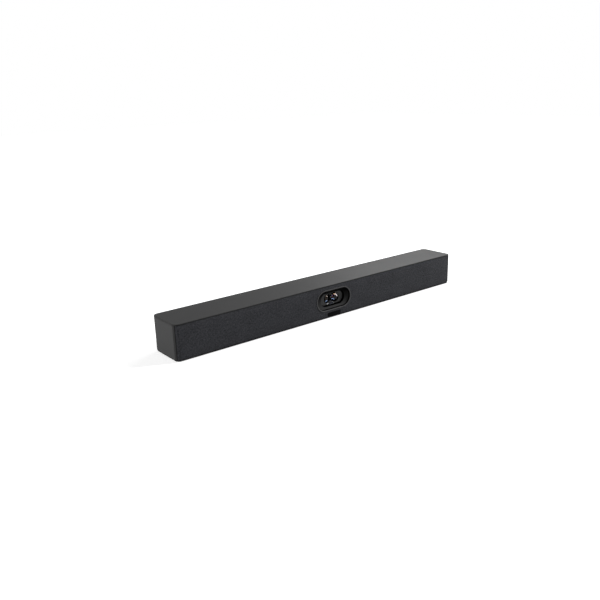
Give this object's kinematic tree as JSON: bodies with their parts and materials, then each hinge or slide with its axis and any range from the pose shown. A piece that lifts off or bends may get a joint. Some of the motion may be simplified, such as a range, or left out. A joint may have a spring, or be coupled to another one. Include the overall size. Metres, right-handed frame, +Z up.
{
  "type": "conference camera bar",
  "caption": "Long rectangular conference camera bar with a cloth front, a stadium-shaped lens window with a sliding shutter, and rear ports.",
  "frame": {"origin": "centre of the footprint, on the surface that the feet stand on", "axes": "+X along the bar to its right, -Y out of the cloth front, +Z up"},
  "size_m": [0.6, 0.0686, 0.058],
  "materials": {
    "case_plastic": "fine matte grain, charcoal",
    "base_plastic": "matte black",
    "dark_plastic": "smooth satin, near black",
    "grille_cloth": "plain woven acoustic cloth, dark bluish grey",
    "rim_metal": "satin grey paint",
    "bezel_plastic": "matte dark grey",
    "smoked_plastic": "smoked, glossy",
    "badge_metal": "satin dark grey, bare",
    "lens_glass": "coated optical glass",
    "lens_black": "satin black",
    "cast_metal": "die cast, bare",
    "circuit_board": "green solder mask",
    "chip_black": "moulded epoxy",
    "flex_film": "amber polyimide film",
    "gear_plastic": "natural acetal",
    "plated_steel": "nickel plated",
    "pad_silicone": "soft silicone",
    "black_aluminium": "black anodised",
    "brass": "turned brass",
    "box_plastic": "moulded black",
    "magnet_iron": "ferrite and zinc-plated steel",
    "cone_plastic": "pressed polypropylene",
    "black_rubber": "soft black rubber",
    "wire_vinyl": "red vinyl sleeve"
  },
  "bodies": {
    "housing": {"top_cover": "case_plastic", "bottom_cover": "base_plastic", "rear_housing": "case_plastic", "grille_frame": "dark_plastic", "grille_fabric": "grille_cloth", "window_rim": "rim_metal", "window_bezel": "bezel_plastic", "lens_mask": "bezel_plastic", "status_light_pipe": "smoked_plastic", "badge_plate": "badge_metal", "lens_dome_left": "lens_glass", "lens_dome_right": "lens_glass", "lens_ring_left": "lens_black", "lens_ring_right": "lens_black", "lens_barrel_left": "lens_black", "lens_barrel_right": "lens_black", "camera_bracket": "cast_metal", "sensor_board_left": "circuit_board", "sensor_board_right": "circuit_board", "image_sensors": "chip_black", "camera_ribbons": "flex_film", "shutter_guide": "dark_plastic", "shutter_motor": "plated_steel", "main_board": "circuit_board", "processor": "chip_black", "thermal_pad": "pad_silicone", "heat_sink": "black_aluminium", "board_chips": "chip_black", "board_standoffs": "brass", "board_screws": "plated_steel", "dc_socket": "lens_black", "usb_c_socket": "plated_steel", "usb_a_socket": "plated_steel", "hdmi_socket": "plated_steel", "ethernet_socket": "plated_steel", "reset_switch": "chip_black", "lock_plate": "plated_steel", "mic_board": "circuit_board", "mic_capsules": "brass", "mic_ribbon": "flex_film", "speaker_box_left": "box_plastic", "speaker_box_right": "box_plastic", "speaker_basket_left": "box_plastic", "speaker_basket_right": "box_plastic", "speaker_magnet_left": "magnet_iron", "speaker_magnet_right": "magnet_iron", "speaker_surround_left": "black_rubber", "speaker_surround_right": "black_rubber", "driver_screws": "plated_steel", "wire_leads": "wire_vinyl", "rubber_feet": "black_rubber", "tripod_insert": "brass", "bracket_inserts": "brass", "case_screws": "plated_steel"},
    "shutter": {"shutter_blade": "dark_plastic"},
    "pinion": {"shutter_pinion": "gear_plastic"},
    "cone_left": {"speaker_cone_left": "cone_plastic"},
    "cone_right": {"speaker_cone_right": "cone_plastic"},
    "reset": {"reset_button": "dark_plastic"}
  },
  "joints": [
    {"name": "shutter_slide", "type": "slide", "parent": "housing", "child": "shutter", "axis": [-1, 0, 0], "range_m": [0, 0.059]},
    {"name": "pinion_spin", "type": "hinge", "parent": "housing", "child": "pinion", "pos_m": [0.024, -0.0286, 0.0113], "axis": [0, -1, 0], "range_deg": [-5, 710]},
    {"name": "cone_left_move", "type": "slide", "parent": "housing", "child": "cone_left", "axis": [0, -1, 0], "range_m": [-0.0015, 0.0015], "stiffness_N_per_m": 900, "deforming": ["speaker_surround_left"]},
    {"name": "cone_right_move", "type": "slide", "parent": "housing", "child": "cone_right", "axis": [0, -1, 0], "range_m": [-0.0015, 0.0015], "stiffness_N_per_m": 900, "deforming": ["speaker_surround_right"]},
    {"name": "reset_press", "type": "slide", "parent": "housing", "child": "reset", "axis": [0, -1, 0], "range_m": [0, 0.0005], "stiffness_N_per_m": 400}
  ],
  "couplings": [
    {"joint": "pinion_spin", "follows": "shutter_slide", "rad_per_m": 208.33}
  ]
}
